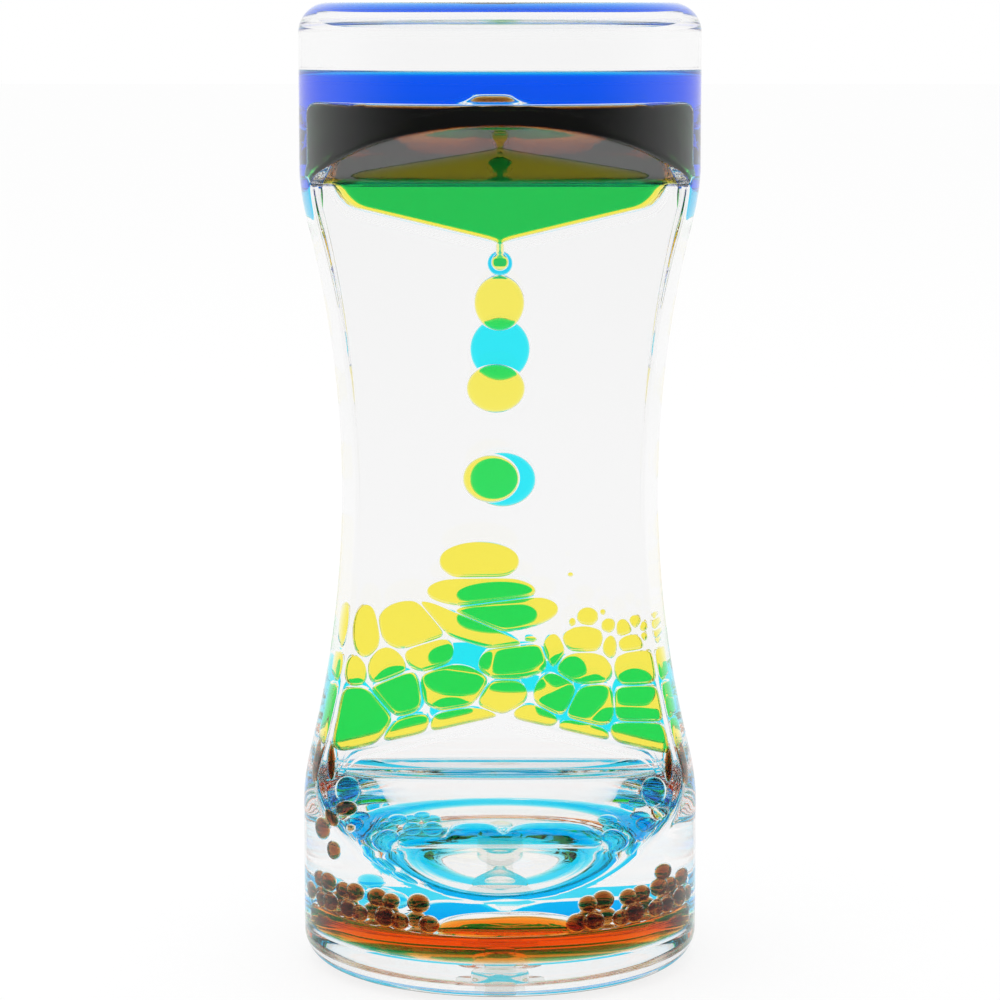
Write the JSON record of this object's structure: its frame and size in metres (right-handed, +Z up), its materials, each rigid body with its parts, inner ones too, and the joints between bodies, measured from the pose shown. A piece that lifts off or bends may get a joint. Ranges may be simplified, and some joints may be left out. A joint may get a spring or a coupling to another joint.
{
  "type": "liquid motion timer",
  "caption": "Clear hourglass-shaped desk timer with two flat oil cells, one behind the other, where coloured drops sink from funnel plates and heap up below.",
  "frame": {"origin": "centre of the underside, on the surface that the timer stands on", "axes": "+Z up along the axis of the drums, -Y towards the viewer, with the yellow cell in front of the blue one"},
  "size_m": [0.058, 0.058, 0.14],
  "materials": {
    "clear_acrylic": "polished clear acrylic",
    "clear_stopper": "clear soft stopper",
    "clear_plate": "clear moulded plate",
    "clear_oil": "clear mineral oil",
    "yellow_liquid": "clear yellow dyed water",
    "blue_liquid": "clear blue dyed water"
  },
  "bodies": {
    "vessel": {"clear_body": "clear_acrylic", "top_cap": "clear_acrylic", "bottom_cap": "clear_acrylic", "front_fill_plug": "clear_stopper", "back_fill_plug": "clear_stopper", "front_top_funnel": "clear_plate", "front_bottom_funnel": "clear_plate", "back_top_funnel": "clear_plate", "back_bottom_funnel": "clear_plate", "front_clear_oil": "clear_oil", "back_clear_oil": "clear_oil", "yellow_top_charge": "yellow_liquid", "yellow_heap": "yellow_liquid", "yellow_runoff": "yellow_liquid", "yellow_pool": "yellow_liquid", "yellow_beads": "yellow_liquid", "blue_top_charge": "blue_liquid", "blue_heap": "blue_liquid", "blue_runoff": "blue_liquid", "blue_pool": "blue_liquid", "blue_beads": "blue_liquid"},
    "yellow_upper": {"yellow_drop_upper": "yellow_liquid"},
    "yellow_middle": {"yellow_drop_middle": "yellow_liquid"},
    "yellow_lower": {"yellow_drop_lower": "yellow_liquid"},
    "blue_upper": {"blue_drop_upper": "blue_liquid"},
    "blue_lower": {"blue_drop_lower": "blue_liquid"}
  },
  "joints": [
    {"name": "yellow_middle_sink", "type": "slide", "parent": "vessel", "child": "yellow_middle", "axis": [0, 0, -1], "range_m": [0, 0.0044]},
    {"name": "yellow_upper_sink", "type": "slide", "parent": "vessel", "child": "yellow_upper", "axis": [0, 0, -1], "range_m": [0, 0.0044]},
    {"name": "yellow_lower_sink", "type": "slide", "parent": "vessel", "child": "yellow_lower", "axis": [0, 0, -1], "range_m": [0, 0.0044]},
    {"name": "blue_upper_sink", "type": "slide", "parent": "vessel", "child": "blue_upper", "axis": [0, 0, -1], "range_m": [0, 0.01]},
    {"name": "blue_lower_sink", "type": "slide", "parent": "vessel", "child": "blue_lower", "axis": [0, 0, -1], "range_m": [0, 0.01]}
  ],
  "couplings": [
    {"joint": "yellow_upper_sink", "follows": "yellow_middle_sink", "ratio": 1},
    {"joint": "yellow_lower_sink", "follows": "yellow_middle_sink", "ratio": 1},
    {"joint": "blue_lower_sink", "follows": "blue_upper_sink", "ratio": 1}
  ]
}
